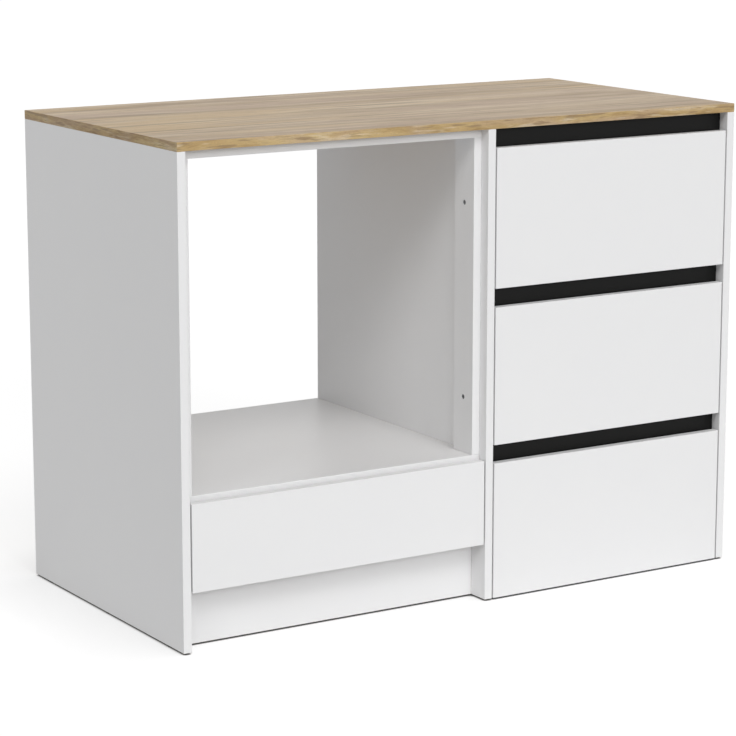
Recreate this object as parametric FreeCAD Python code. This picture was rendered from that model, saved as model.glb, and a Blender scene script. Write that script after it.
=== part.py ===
import FreeCAD, Part
import os

# Base cabinet for a built-in oven with a stack of drawers beside it.
# Millimetres. X runs to the right seen from the front, Y to the back, Z up.
# The origin is on the floor, in the middle of the cabinet's width and depth.

Vec = FreeCAD.Vector

# Carcass
total_height = 890.0
depth = 600.0
oven_bay_width = 612.0  # clear, between the left and the centre panel
drawer_bay_width = 530.0  # clear, between the centre and the right panel
board = 16.0  # melamine board of panels, shelf, rails and fronts
worktop_thickness = 16.0
edge_radius = 0.8  # broken edges of every board
front_recess = 22.0  # shelf, battens, top rail and grip rails stand back from the front

# Oven niche, as high as the plinth, the storage drawer and the shelf leave it
batten_thickness = 16.0
batten_depth = 62.0
batten_screw_back = 31.0  # behind the batten's front edge
batten_screw_low = 104.0  # above the batten's lower end
batten_screw_high = 120.0  # below its upper end
top_rail_depth = 80.0
rear_rail_height = 80.0

# Plinth and storage drawer under the niche
toe_height = 108.5  # from the floor to the storage drawer's front
plinth_recess = 45.0
plinth_overlap = 8.0  # the plinth reaches this far up behind the drawer front
shelf_reveal = 8.5  # how much of the shelf's edge shows above the drawer front
storage_front_height = 158.0

# Stack of drawers
drawer_count = 3
grip_gap = 34.5  # finger channel above each front
grip_rail_height = 70.0
front_gap = 3.0  # between a front and the panel beside it

# Thin backs
hardboard = 3.0
groove_depth = 6.0
groove_gap = 0.2  # clearance on each face of a board in its groove
back_inset = 15.0  # from the rear edge of the panels to the thin back

# Drawer boxes
box_board = 12.0
box_depth = 500.0
box_height = 180.0
box_lift = 24.0  # above the lower edge of the front
storage_box_lift = 14.0
storage_head_room = 8.0  # between the storage drawer's box and the shelf
bottom_rise = 10.0  # of the drawer's bottom above the lower edge of its box

# Ball-bearing slides, across the gap between panel and drawer box
slide_gap = 12.7
slide_setback = 2.0  # behind the back of the drawer front
slide_rise = 50.0  # of the slide's centre line above the lower edge of the box
slide_height = 45.0
sheet = 1.2
outer_reach = 9.0
middle_start = 3.6
middle_height = 34.0
middle_reach = 11.0
inner_start = 6.6
inner_height = 26.0
ball_gap = 0.3
cage_inset = 1.4  # of a ball cage behind the lips of its members

# Fasteners
fit_gap = 0.1  # radial clearance of cams, bolts, dowels and screws in their holes
blind_floor = 4.5  # board left behind a blind hole
cam_radius = 7.4
cam_floor = 3.5
cam_inset = 24.0
box_cam_radius = 5.9
bolt_radius = 3.0
dowel_radius = 4.0
dowel_length = 28.0
fixing_spread = 22.0  # between a cam and the dowel beside it
panel_fixing_inset = 90.0  # of the worktop's and shelf's fixings from the panel's ends
box_cam_end = 30.0  # from a drawer side's lower or upper edge
screw_radius = 1.75
screw_head_radius = 3.5
screw_head_height = 1.4
slide_screw_length = 8.0
slide_screw_end = 35.0  # from a slide's end
wood_screw_length = 32.0
countersink = 2.4
batten_screw_length = 25.0
batten_head_radius = 4.6
batten_countersink = 3.6
batten_head_sink = 1.2  # of the batten screws' heads below the batten's face
box_screw_low = 20.0
box_screw_high = 25.0

# Floor glides
glide_height = 3.0
glide_radius = 7.0
glide_inset = 60.0
glide_pin_radius = 1.2
glide_pin_length = 14.0

# Planes that follow from the sizes above
width = oven_bay_width + drawer_bay_width + 3 * board
oven_left = -width / 2 + board
oven_right = oven_left + oven_bay_width
bay_left = oven_right + board
bay_right = bay_left + drawer_bay_width
front = -depth / 2
back = depth / 2
recess = front + front_recess
front_back = front + board  # the rear face of every drawer front
foot = glide_height
under_top = total_height - worktop_thickness
storage_front_top = toe_height + storage_front_height
shelf_top = storage_front_top + shelf_reveal
shelf_under = shelf_top - board
rail_under = under_top - board
floor_top = foot + board
back_face = back - back_inset  # the rear face of the thin backs
bite = board - blind_floor
pitch = (under_top - foot) / drawer_count
front_height = pitch - grip_gap
slide_length = box_depth  # a slide is as long as the drawer's side
plinth_top = toe_height + plinth_overlap

parts = {}  # node name to its shape
holes = {}  # node name to what is cut out of it
groups = {}  # node name to a list of separate solids


def block(x0, x1, y0, y1, z0, z1):
    return Part.makeBox(x1 - x0, y1 - y0, z1 - z0, Vec(x0, y0, z0))


def edged(shape, thinnest):
    radius = min(edge_radius, thinnest / 4)
    return shape.makeFillet(radius, shape.Edges)


def add_board(node, x0, x1, y0, y1, z0, z1):
    thinnest = min(x1 - x0, y1 - y0, z1 - z0)
    parts[node] = edged(block(x0, x1, y0, y1, z0, z1), thinnest)


def cut(node, tool):
    holes.setdefault(node, []).append(tool)


def add_piece(node, solid):
    groups.setdefault(node, []).append(solid)


def rod(start, direction, radius, length):
    return Part.makeCylinder(radius, length, start, direction)


def cam_joint(holder, mate, seat, inward, opening, thick, radius, cams, bolts):
    # A cam in the holder pulls on a bolt that is screwed into the mate.
    # The seat is where the bolt's axis crosses from the one into the other.
    centre = seat + inward * cam_inset
    mouth = centre + opening * (thick / 2)
    down = opening * -1
    cam_depth = thick - cam_floor
    tip = seat - inward * bite
    bore = bolt_radius + fit_gap
    cut(holder, rod(mouth, down, radius + fit_gap, cam_depth))
    cut(holder, rod(seat, inward, bore, cam_inset))
    cut(mate, rod(tip, inward, bore, bite))
    cam = rod(mouth, down, radius, cam_depth)
    add_piece(cams, cam.cut(rod(seat, inward, bore, cam_inset + fit_gap)))
    add_piece(bolts, rod(tip, inward, bolt_radius, bite + cam_inset))


def dowel_joint(holder, mate, seat, inward):
    hole = dowel_radius + fit_gap
    tip = seat - inward * bite
    cut(mate, rod(tip, inward, hole, bite))
    cut(holder, rod(seat, inward, hole, dowel_length - bite))
    add_piece("dowels", rod(tip, inward, dowel_radius, dowel_length))


def end_fixings(holder, x0, x1, left_mate, right_mate, seats, along, opening):
    # Cams at both ends of a board that runs from panel to panel, each with a dowel beside it.
    for x, mate, inward in ((x0, left_mate, Vec(1, 0, 0)), (x1, right_mate, Vec(-1, 0, 0))):
        for y, z in seats:
            seat = Vec(x, y, z)
            cam_joint(holder, mate, seat, inward, opening, board, cam_radius, "cam_locks", "cam_bolts")
            dowel_joint(holder, mate, seat + along * fixing_spread, inward)


def countersunk_screw(node, head, direction, length, through, head_radius, cone_length):
    # The hole runs through every node of the list.
    def body(gap):
        cone = Part.makeCone(head_radius + gap, screw_radius + gap, cone_length, head, direction)
        shank_start = head + direction * cone_length
        return cone.fuse(rod(shank_start, direction, screw_radius + gap, length - cone_length))

    add_piece(node, body(0.0))
    for holder in through:
        cut(holder, body(fit_gap))


def pan_screw(node, head, direction, length, through):
    # The head stands on the sheet of a slide member.
    add_piece(node, rod(head - direction * screw_head_height, direction, screw_head_radius, screw_head_height)
              .fuse(rod(head, direction, screw_radius, length)))
    for holder in through:
        cut(holder, rod(head, direction, screw_radius + fit_gap, length))


def make_carcass():
    for node, x in (("left_panel", -width / 2), ("centre_panel", oven_right), ("right_panel", bay_right)):
        add_board(node, x, x + board, front, back, foot, under_top)
    add_board("worktop", -width / 2, width / 2, front, back, under_top, total_height)
    add_board("oven_shelf", oven_left, oven_right, recess, back, shelf_under, shelf_top)
    add_board("front_top_rail", oven_left, oven_right, recess, recess + top_rail_depth, rail_under, under_top)
    add_board("rear_top_rail", oven_left, oven_right, back - top_rail_depth, back, rail_under, under_top)
    plinth_front = front + plinth_recess
    add_board("plinth", oven_left, oven_right, plinth_front, plinth_front + board, foot, plinth_top)
    add_board("drawer_bay_floor", bay_left, bay_right, recess, back, foot, floor_top)
    rail_back = back_face - hardboard
    add_board("rear_bay_rail", bay_left, bay_right, rail_back - board, rail_back,
              under_top - rear_rail_height, under_top)


def make_carcass_fixings():
    along_y = Vec(0, 1, 0)
    along_z = Vec(0, 0, 1)
    under = Vec(0, 0, -1)
    rear = Vec(0, 1, 0)
    shelf_middle = shelf_top - board / 2
    ends = (recess + panel_fixing_inset, back - panel_fixing_inset)
    end_fixings("oven_shelf", oven_left, oven_right, "left_panel", "centre_panel",
                [(y, shelf_middle) for y in ends], along_y, under)
    rail_middle = under_top - board / 2
    rail_seat = (top_rail_depth - fixing_spread) / 2
    end_fixings("front_top_rail", oven_left, oven_right, "left_panel", "centre_panel",
                [(recess + rail_seat, rail_middle)], along_y, under)
    end_fixings("rear_top_rail", oven_left, oven_right, "left_panel", "centre_panel",
                [(back - top_rail_depth + rail_seat, rail_middle)], along_y, under)
    plinth_middle = front + plinth_recess + board / 2
    plinth_seat = (foot + plinth_top - fixing_spread) / 2
    end_fixings("plinth", oven_left, oven_right, "left_panel", "centre_panel",
                [(plinth_middle, plinth_seat)], along_z, rear)
    end_fixings("drawer_bay_floor", bay_left, bay_right, "centre_panel", "right_panel",
                [(y, foot + board / 2) for y in ends], along_y, under)
    rail_depth_middle = back_face - hardboard - board / 2
    end_fixings("rear_bay_rail", bay_left, bay_right, "centre_panel", "right_panel",
                [(rail_depth_middle, under_top - (rear_rail_height + fixing_spread) / 2)],
                along_z, Vec(0, -1, 0))
    # The worktop lies on the panels and is held by cams in their inner faces.
    for node, x, opening in (("left_panel", -width / 2, Vec(1, 0, 0)),
                             ("centre_panel", oven_right, Vec(1, 0, 0)),
                             ("right_panel", bay_right, Vec(-1, 0, 0))):
        for y in (front + panel_fixing_inset + top_rail_depth, back - panel_fixing_inset - top_rail_depth):
            seat = Vec(x + board / 2, y, under_top)
            cam_joint(node, "worktop", seat, under, opening, board, cam_radius, "cam_locks", "cam_bolts")
            dowel_joint(node, "worktop", seat + along_y * fixing_spread, under)


def make_battens():
    # Upright strips on both sides of the niche, screwed to the panels from inside the niche.
    x_faces = (("left_oven_batten", oven_left, oven_left + batten_thickness, "left_panel", 1),
               ("right_oven_batten", oven_right - batten_thickness, oven_right, "centre_panel", -1))
    for node, x0, x1, panel, side in x_faces:
        add_board(node, x0, x1, recess, recess + batten_depth, shelf_top, rail_under)
        face = x1 if side > 0 else x0
        for z in (shelf_top + batten_screw_low, rail_under - batten_screw_high):
            head = Vec(face - side * batten_head_sink, recess + batten_screw_back, z)
            cut(node, rod(head, Vec(side, 0, 0), batten_head_radius + fit_gap, batten_head_sink))
            countersunk_screw("batten_screws", head, Vec(-side, 0, 0), batten_screw_length, (node, panel),
                              batten_head_radius, batten_countersink)


def make_grip_rails():
    # Black boards behind the finger channels; the uppermost one stands under the worktop.
    names = ("lower_grip_rail", "middle_grip_rail", "top_grip_rail")
    for number in range(drawer_count):
        node = names[number]
        channel_top = foot + pitch * (number + 1)
        if number == drawer_count - 1:
            z1 = channel_top
        else:
            z1 = channel_top + (grip_rail_height - grip_gap) / 2
        z0 = z1 - grip_rail_height
        add_board(node, bay_left, bay_right, recess, recess + board, z0, z1)
        seat_z = (z0 + z1 - fixing_spread) / 2
        end_fixings(node, bay_left, bay_right, "centre_panel", "right_panel",
                    [(recess + board / 2, seat_z)], Vec(0, 0, 1), Vec(0, 1, 0))


def groove_box(x0, x1, y0, y1, z0, z1):
    return block(x0, x1, y0 - groove_gap, y1 + groove_gap, z0, z1)


def make_thin_backs():
    # Thin boards let into grooves of the panels, the shelf and the bay's floor.
    y0 = back_face - hardboard
    y1 = back_face
    side = groove_depth - groove_gap
    low = foot + groove_gap
    parts["lower_back"] = block(oven_left - side, oven_right + side, y0, y1, low, shelf_under + side)
    cut("left_panel", groove_box(oven_left - groove_depth, oven_left, y0, y1, foot, shelf_top))
    cut("centre_panel", groove_box(oven_right, oven_right + groove_depth, y0, y1, foot, shelf_top))
    cut("oven_shelf", groove_box(oven_left, oven_right, y0, y1, shelf_under, shelf_under + groove_depth))
    parts["drawer_bay_back"] = block(bay_left - side, bay_right + side, y0, y1,
                                     floor_top - side, under_top - groove_gap)
    cut("centre_panel", groove_box(bay_left - groove_depth, bay_left, y0, y1, foot, under_top))
    cut("right_panel", groove_box(bay_right, bay_right + groove_depth, y0, y1, foot, under_top))
    cut("drawer_bay_floor", groove_box(bay_left, bay_right, y0, y1, floor_top - groove_depth, floor_top))


def make_glides():
    for node, x in (("left_panel", -width / 2), ("centre_panel", oven_right), ("right_panel", bay_right)):
        for y in (front + glide_inset, 0.0, back - glide_inset):
            up = Vec(0, 0, 1)
            bottom = Vec(x + board / 2, y, 0)
            top = Vec(x + board / 2, y, glide_height)
            radius = min(glide_radius, board / 2)
            pad = rod(bottom, up, radius, glide_height)
            pad = pad.makeFillet(glide_height / 4, [pad.Edges[0], pad.Edges[2]])
            add_piece("floor_glides", pad.fuse(rod(top, up, glide_pin_radius, glide_pin_length)))
            cut(node, rod(top, up, glide_pin_radius + fit_gap, glide_pin_length))


def slab(face, side, t0, t1, y0, y1, z0, z1):
    # A block measured across the slide's gap, from the panel's face towards the drawer.
    xa = face + side * t0
    xb = face + side * t1
    return block(min(xa, xb), max(xa, xb), y0, y1, z0, z1)


def channel(face, side, web0, lip, height, y0, y1, middle):
    # A sheet channel: its web starts at web0 and its lips end at lip.
    low = middle - height / 2
    high = middle + height / 2
    t0 = min(web0, lip)
    t1 = max(web0, lip)
    if lip > web0:
        hollow = (t0 + sheet, t1)
    else:
        hollow = (t0, t1 - sheet)
    solid = slab(face, side, t0, t1, y0, y1, low, high)
    return solid.cut(slab(face, side, hollow[0], hollow[1], y0, y1, low + sheet, high - sheet))


def make_slides(drawer, panels, x0, x1, box_low, travel_body):
    # One ball-bearing slide on each side of a drawer, shut.
    y0 = front_back + slide_setback
    y1 = y0 + slide_length
    middle = box_low + slide_rise
    stations = (y0 + slide_screw_end, (y0 + y1) / 2, y1 - slide_screw_end)
    for face, side, panel, box_side in ((x0, 1, panels[0], "_left_side"), (x1, -1, panels[1], "_right_side")):
        outer = channel(face, side, 0, outer_reach, slide_height, y0, y1, middle)
        member = channel(face, side, middle_start, middle_reach, middle_height, y0, y1, middle)
        inner = channel(face, side, slide_gap, inner_start, inner_height, y0, y1, middle)
        outward = Vec(-side, 0, 0)
        for y in stations:
            head = Vec(face + side * sheet, y, middle)
            shank = rod(head, outward, screw_radius + fit_gap, sheet)
            outer = outer.cut(shank)
            pan_screw("slide_screws", head, outward, slide_screw_length, (panel,))
            head = Vec(face + side * (slide_gap - sheet), y, middle)
            inner = inner.cut(rod(head, outward * -1, screw_radius + fit_gap, sheet))
            pan_screw(drawer + "_fixings", head, outward * -1, slide_screw_length, (drawer + box_side,))
        add_piece(drawer + "_outer_slides", outer)
        add_piece(drawer + "_inner_slides", inner)
        add_piece(travel_body, member)
        # Ball cages fill the races on both sides of the middle member's lips.
        race_out = (middle_height / 2, slide_height / 2 - sheet - ball_gap)
        race_in = (inner_height / 2 + ball_gap, middle_height / 2 - sheet)
        spans = ((middle_start + cage_inset, outer_reach - ball_gap, race_out),
                 (inner_start + ball_gap, middle_reach - ball_gap, race_in))
        for t0, t1, (near, far) in spans:
            for up in (1, -1):
                za = middle + up * near
                zb = middle + up * far
                add_piece(travel_body, slab(face, side, t0, t1, y0, y1, min(za, zb), max(za, zb)))


def make_drawer(drawer, panels, x0, x1, front_low, height, box_low, tall):
    # The front is inset between the panels; the box hangs behind it on its slides.
    add_board(drawer + "_front", x0 + front_gap, x1 - front_gap, front, front_back,
              front_low, front_low + height)
    left = x0 + slide_gap
    right = x1 - slide_gap
    end = front_back + box_depth
    box_top = box_low + tall
    add_board(drawer + "_left_side", left, left + box_board, front_back, end, box_low, box_top)
    add_board(drawer + "_right_side", right - box_board, right, front_back, end, box_low, box_top)
    add_board(drawer + "_back", left + box_board, right - box_board, end - box_board, end, box_low, box_top)
    # The bottom lies in a groove all round.
    z0 = box_low + bottom_rise
    z1 = z0 + hardboard
    side = groove_depth - groove_gap
    bottom_left = left + box_board - side
    bottom_right = right - box_board + side
    parts[drawer + "_bottom"] = block(bottom_left, bottom_right, front_back - side,
                                      end - box_board + side, z0, z1)
    for node, gx0, gx1, gy0, gy1 in (
            ("_left_side", left + box_board - groove_depth, left + box_board, front_back, end),
            ("_right_side", right - box_board, right - box_board + groove_depth, front_back, end),
            ("_back", left, right, end - box_board, end - box_board + groove_depth),
            ("_front", bottom_left - groove_gap, bottom_right + groove_gap,
             front_back - groove_depth, front_back)):
        cut(drawer + node, block(gx0, gx1, gy0, gy1, z0 - groove_gap, z1 + groove_gap))
    fixings = drawer + "_fixings"
    for node, x, opening in (("_left_side", left + box_board / 2, Vec(1, 0, 0)),
                             ("_right_side", right - box_board / 2, Vec(-1, 0, 0))):
        for z in (box_low + box_cam_end, box_top - box_cam_end):
            seat = Vec(x, front_back, z)
            cam_joint(drawer + node, drawer + "_front", seat, Vec(0, 1, 0), opening,
                      box_board, box_cam_radius, fixings, fixings)
        for z in (box_low + box_screw_low, box_top - box_screw_high):
            head = Vec(x, end - box_board / 2, z) - opening * (box_board / 2)
            countersunk_screw(fixings, head, opening, wood_screw_length, (drawer + node, drawer + "_back"),
                              screw_head_radius, countersink)
    make_slides(drawer, panels, x0, x1, box_low, drawer + "_middle_slides")


def make_drawers():
    names = ("bottom_drawer", "middle_drawer", "top_drawer")
    for number in range(drawer_count):
        front_low = foot + pitch * number
        make_drawer(names[number], ("centre_panel", "right_panel"), bay_left, bay_right,
                    front_low, front_height, front_low + box_lift, box_height)
    box_low = toe_height + storage_box_lift
    make_drawer("storage_drawer", ("left_panel", "centre_panel"), oven_left, oven_right,
                toe_height, storage_front_height, box_low, shelf_under - storage_head_room - box_low)


def finish_parts():
    for node, tools in holes.items():
        parts[node] = parts[node].cut(tools)
    for node, solids in groups.items():
        parts[node] = Part.makeCompound(solids)


def export_parts():
    os.makedirs("parts", exist_ok=True)
    for node, shape in parts.items():
        shape.exportStep("parts/" + node + ".step")
    print(len(parts), "nodes,", sum(len(shape.Solids) for shape in parts.values()), "solids")


make_carcass()
make_carcass_fixings()
make_battens()
make_grip_rails()
make_thin_backs()
make_glides()
make_drawers()
finish_parts()
export_parts()
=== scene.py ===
import math

import bmesh
import bpy
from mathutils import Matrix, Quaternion, Vector


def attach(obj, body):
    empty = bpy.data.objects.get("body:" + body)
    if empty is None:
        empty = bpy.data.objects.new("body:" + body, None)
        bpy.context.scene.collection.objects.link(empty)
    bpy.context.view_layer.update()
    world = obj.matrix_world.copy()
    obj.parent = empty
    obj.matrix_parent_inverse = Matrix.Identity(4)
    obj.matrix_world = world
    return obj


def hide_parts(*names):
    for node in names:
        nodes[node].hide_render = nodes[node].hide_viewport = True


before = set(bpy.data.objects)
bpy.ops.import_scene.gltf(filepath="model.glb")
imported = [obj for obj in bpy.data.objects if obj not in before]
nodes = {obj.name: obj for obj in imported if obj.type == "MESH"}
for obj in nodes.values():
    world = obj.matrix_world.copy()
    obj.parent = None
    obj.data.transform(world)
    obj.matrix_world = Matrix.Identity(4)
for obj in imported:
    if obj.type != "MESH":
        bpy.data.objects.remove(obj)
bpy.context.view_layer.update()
print("Frame loaded with", len(nodes), "nodes")

mm = 0.001
left, right = (-1, 0, 0), (1, 0, 0)
ahead, rear = (0, -1, 0), (0, 1, 0)
up, down = (0, 0, 1), (0, 0, -1)


def metres(x, y, z):
    return (x * mm, y * mm, z * mm)


def linear(hexText):
    # sRGB hex colour to the linear values that the shaders use
    channels = [int(hexText[i:i + 2], 16) / 255 for i in (1, 3, 5)]
    return [c / 12.92 if c <= 0.04045 else ((c + 0.055) / 1.055) ** 2.4 for c in channels] + [1.0]


def fillRamp(ramp, stops):
    ramp.elements[0].position, ramp.elements[1].position = stops[0][0], stops[-1][0]
    ramp.elements[0].color, ramp.elements[1].color = linear(stops[0][1]), linear(stops[-1][1])
    for place, colour in stops[1:-1]:
        ramp.elements.new(place).color = linear(colour)


def addNode(tree, kind, settings=None, inputs=None):
    # one node with its settings; an input takes a value, the socket that feeds it or a list of sockets
    node = tree.nodes.new(kind)
    for name, value in (settings or {}).items():
        if name == "stops":
            fillRamp(node.color_ramp, value)
        else:
            setattr(node, name, value)
    for socket, value in (inputs or {}).items():
        feeds = value if isinstance(value, list) else [value]
        if isinstance(feeds[0], bpy.types.NodeSocket):
            for feed in feeds:
                tree.links.new(feed, node.inputs[socket])
        else:
            node.inputs[socket].default_value = value
    return node


def startMaterial(name, roughness, ior=1.5, metallic=0.0):
    material = bpy.data.materials.new(name)
    material.use_nodes = True
    tree = material.node_tree
    shader = tree.nodes["Principled BSDF"]
    shader.inputs["Roughness"].default_value = roughness
    shader.inputs["Metallic"].default_value = metallic
    if not metallic:
        shader.inputs["IOR"].default_value = ior
    return material, tree, shader, addNode(tree, "ShaderNodeTexCoord").outputs


edgeTurn = (0.62, 0.78)  # cosines between which a broken edge passes from one face's look to the next


def facing(tree, normal, directions):
    # 1 where the surface faces one of the directions, 0 elsewhere
    strongest = 0.0
    for direction in directions:
        dot = addNode(tree, "ShaderNodeVectorMath", {"operation": "DOT_PRODUCT"}, {0: normal, 1: direction})
        strongest = addNode(tree, "ShaderNodeMath", {"operation": "MAXIMUM"},
                            {0: strongest, 1: dot.outputs["Value"]}).outputs[0]
    return addNode(tree, "ShaderNodeMapRange", None,
                   {"Value": strongest, "From Min": edgeTurn[0], "From Max": edgeTurn[1]}).outputs[0]


def coat(tree, shader, colour, height, look):
    # gives the shader its colour and a fine relief
    bump = addNode(tree, "ShaderNodeBump", None,
                   {"Height": height, "Distance": look["relief"], "Strength": look["reliefStrength"]})
    tree.links.new(colour, shader.inputs["Base Color"])
    tree.links.new(bump.outputs["Normal"], shader.inputs["Normal"])


melamine = {
    "white": "#EEEEEE",
    "whiteShade": "#ECECED",
    "black": "#111110",
    "blackShade": "#0D0D0D",
    "cloudSize": 90 * mm,
    "pearlSize": 1.8 * mm,  # the real print is 0.4 mm, too fine to show
    "relief": 0.012 * mm,
    "reliefStrength": 0.5,
    "roughness": 0.42,
    "blackRoughness": 0.5,
    "blackIor": 1.25,
    "chipSize": 2.2 * mm,
    "chipRelief": 6.0,  # times that of the paper
    "chipRoughness": 0.9,
    "chipColours": ((0.0, "#8E6E47"), (0.25, "#B4936A"), (0.7, "#CDB189"), (1.0, "#DEC7A2")),
}


def makeMelamine(name, tone, shade, roughness, rawSides, ior=1.5):
    # particle board under a satin printed paper; unbanded edges show the pressed chips
    material, tree, shader, coords = startMaterial(name, roughness, ior)
    cloud = addNode(tree, "ShaderNodeTexNoise", None,
                    {"Vector": coords["Object"], "Scale": 1 / melamine["cloudSize"], "Detail": 3.0})
    paper = addNode(tree, "ShaderNodeMix", {"data_type": "RGBA"},
                    {0: cloud.outputs["Fac"], 6: linear(tone), 7: linear(shade)}).outputs[2]
    height = addNode(tree, "ShaderNodeTexNoise", None,
                     {"Vector": coords["Object"], "Scale": 1 / melamine["pearlSize"],
                      "Detail": 1.0}).outputs["Fac"]
    colour = paper
    if rawSides:
        raw = facing(tree, coords["Normal"], rawSides)
        chips = addNode(tree, "ShaderNodeTexVoronoi", None,
                        {"Vector": coords["Object"], "Scale": 1 / melamine["chipSize"]})
        wood = addNode(tree, "ShaderNodeValToRGB", {"stops": melamine["chipColours"]},
                       {"Fac": chips.outputs["Color"]})
        colour = addNode(tree, "ShaderNodeMix", {"data_type": "RGBA"},
                         {0: raw, 6: paper, 7: wood.outputs["Color"]}).outputs[2]
        coarse = addNode(tree, "ShaderNodeMath", {"operation": "MULTIPLY"},
                         {0: chips.outputs["Distance"], 1: raw})
        height = addNode(tree, "ShaderNodeMath", {"operation": "MULTIPLY_ADD"},
                         {0: coarse.outputs[0], 1: melamine["chipRelief"], 2: height}).outputs[0]
        rough = addNode(tree, "ShaderNodeMapRange", None,
                        {"Value": raw, "To Min": roughness, "To Max": melamine["chipRoughness"]})
        tree.links.new(rough.outputs[0], shader.inputs["Roughness"])
    coat(tree, shader, colour, height, melamine)
    return material


oak = {
    # from the dark marks to the light ground: the top's print, the front and rear bands', and the ends'
    "topStops": ((0.36, "#957B5A"), (0.46, "#B69E7E"), (0.53, "#C8B192"), (0.63, "#DDCBAF")),
    "bandStops": ((0.36, "#957848"), (0.45, "#AD905E"), (0.53, "#BFA472"), (0.63, "#D0B885")),
    "endStops": ((0.36, "#745528"), (0.45, "#A48755"), (0.53, "#C8AE7C"), (0.63, "#E9D6A3")),
    "endShade": "#E3DFD8",  # the ends are darker on the whole
    # length and width of each layer's marks, its detail and its seed
    "wander": (660 * mm, 140 * mm, 1.0, 3.1),
    "bands": (1300 * mm, 60 * mm, 1.0, 7.7),
    "hues": (900 * mm, 70 * mm, 1.0, 12.4),
    "streaks": (330 * mm, 15 * mm, 3.0, 1.3),
    "gleams": (330 * mm, 15 * mm, 2.0, 20.6),
    "fibres": (120 * mm, 3.2 * mm, 2.0, 5.9),
    "pores": (30 * mm, 1.1 * mm, 0.0, 9.2),  # real pores are 0.3 mm wide, too fine to show
    "streakShare": 0.5,  # of the streaks against the bands
    "fibreShare": 0.25,  # and of the fibres against both
    # prints over the ground: the layer, where it starts and is full, its strength and its colour
    "prints": (("hues", 0.5, 0.66, 0.5, "#BCA28B"), ("hues", 0.48, 0.32, 0.6, "#C9AB78"),
               ("streaks", 0.54, 0.67, 0.7, "#846A4B"), ("gleams", 0.56, 0.7, 0.5, "#DDCDB2"),
               ("pores", 0.62, 0.74, 0.45, "#7D6549")),
    "drift": 24 * mm,  # how far the grain wanders on the top
    "swirl": 30 * mm,  # and on the edges, whose print is finer by the next two values
    "edgeLengths": 6.0,
    "edgeWidths": 2.6,
    "roughness": 0.5,
    "relief": 0.05 * mm,
    "reliefStrength": 0.6,
    "poreDepth": 1.5,  # times the height of the fibres
}


def makeOak(name):
    # laminate with a printed oak grain along the length, and edge bands of a warmer, livelier print
    material, tree, shader, coords = startMaterial(name, oak["roughness"])
    ends = facing(tree, coords["Normal"], (right, left))
    flat = facing(tree, coords["Normal"], (up, down))
    axes = addNode(tree, "ShaderNodeSeparateXYZ", None, {0: coords["Object"]}).outputs
    along = addNode(tree, "ShaderNodeMix", {"data_type": "FLOAT"},
                    {0: ends, 2: axes["X"], 3: axes["Y"]}).outputs[0]
    across = addNode(tree, "ShaderNodeMix", {"data_type": "FLOAT"},
                     {0: flat, 2: axes["Z"], 3: axes["Y"]}).outputs[0]
    finer = addNode(tree, "ShaderNodeMix", {"data_type": "VECTOR"},
                    {0: flat, 4: (oak["edgeLengths"], oak["edgeWidths"], oak["swirl"]),
                     5: (1, 1, oak["drift"])}).outputs[1]
    finer = addNode(tree, "ShaderNodeSeparateXYZ", None, {0: finer}).outputs
    along = addNode(tree, "ShaderNodeMath", {"operation": "MULTIPLY"}, {0: along, 1: finer[0]}).outputs[0]
    across = addNode(tree, "ShaderNodeMath", {"operation": "MULTIPLY"}, {0: across, 1: finer[1]}).outputs[0]

    def grain(layer, source):
        # noise drawn out along the grain
        length, width, detail, seed = oak[layer]
        lengthwise = addNode(tree, "ShaderNodeMath", {"operation": "MULTIPLY"}, {0: along, 1: 1 / length})
        crosswise = addNode(tree, "ShaderNodeMath", {"operation": "MULTIPLY"}, {0: source, 1: 1 / width})
        scaled = addNode(tree, "ShaderNodeCombineXYZ", None,
                         {"X": lengthwise.outputs[0], "Y": crosswise.outputs[0], "Z": seed})
        return addNode(tree, "ShaderNodeTexNoise", None,
                       {"Vector": scaled.outputs[0], "Scale": 1.0, "Detail": detail}).outputs["Fac"]

    bent = addNode(tree, "ShaderNodeMath", {"operation": "MULTIPLY_ADD"},
                   {0: grain("wander", across), 1: finer[2], 2: across}).outputs[0]
    layers = {layer: grain(layer, bent)
              for layer in ("bands", "hues", "streaks", "gleams", "fibres", "pores")}
    broad = addNode(tree, "ShaderNodeMix", {"data_type": "FLOAT"},
                    {0: oak["streakShare"], 2: layers["bands"], 3: layers["streaks"]}).outputs[0]
    figure = addNode(tree, "ShaderNodeMix", {"data_type": "FLOAT"},
                     {0: oak["fibreShare"], 2: broad, 3: layers["fibres"]}).outputs[0]
    top, band, end = [addNode(tree, "ShaderNodeValToRGB", {"stops": oak[stops]}, {"Fac": figure}).outputs[0]
                      for stops in ("topStops", "bandStops", "endStops")]
    edge = addNode(tree, "ShaderNodeMix", {"data_type": "RGBA"}, {0: ends, 6: band, 7: end}).outputs[2]
    printed = addNode(tree, "ShaderNodeMix", {"data_type": "RGBA"}, {0: flat, 6: edge, 7: top}).outputs[2]
    for layer, low, high, most, colour in oak["prints"]:
        share = addNode(tree, "ShaderNodeMapRange", {"interpolation_type": "SMOOTHSTEP"},
                        {"Value": layers[layer], "From Min": low, "From Max": high,
                         "To Max": most}).outputs[0]
        printed = addNode(tree, "ShaderNodeMix", {"data_type": "RGBA"},
                          {0: share, 6: printed, 7: linear(colour)}).outputs[2]
    printed = addNode(tree, "ShaderNodeMix", {"data_type": "RGBA", "blend_type": "MULTIPLY"},
                      {0: ends, 6: printed, 7: linear(oak["endShade"])}).outputs[2]
    # the last share is that of the pores, which lie below the fibres
    height = addNode(tree, "ShaderNodeMath", {"operation": "MULTIPLY_ADD"},
                     {0: share, 1: -oak["poreDepth"], 2: layers["fibres"]})
    coat(tree, shader, printed, height.outputs[0], oak)
    return material


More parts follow.
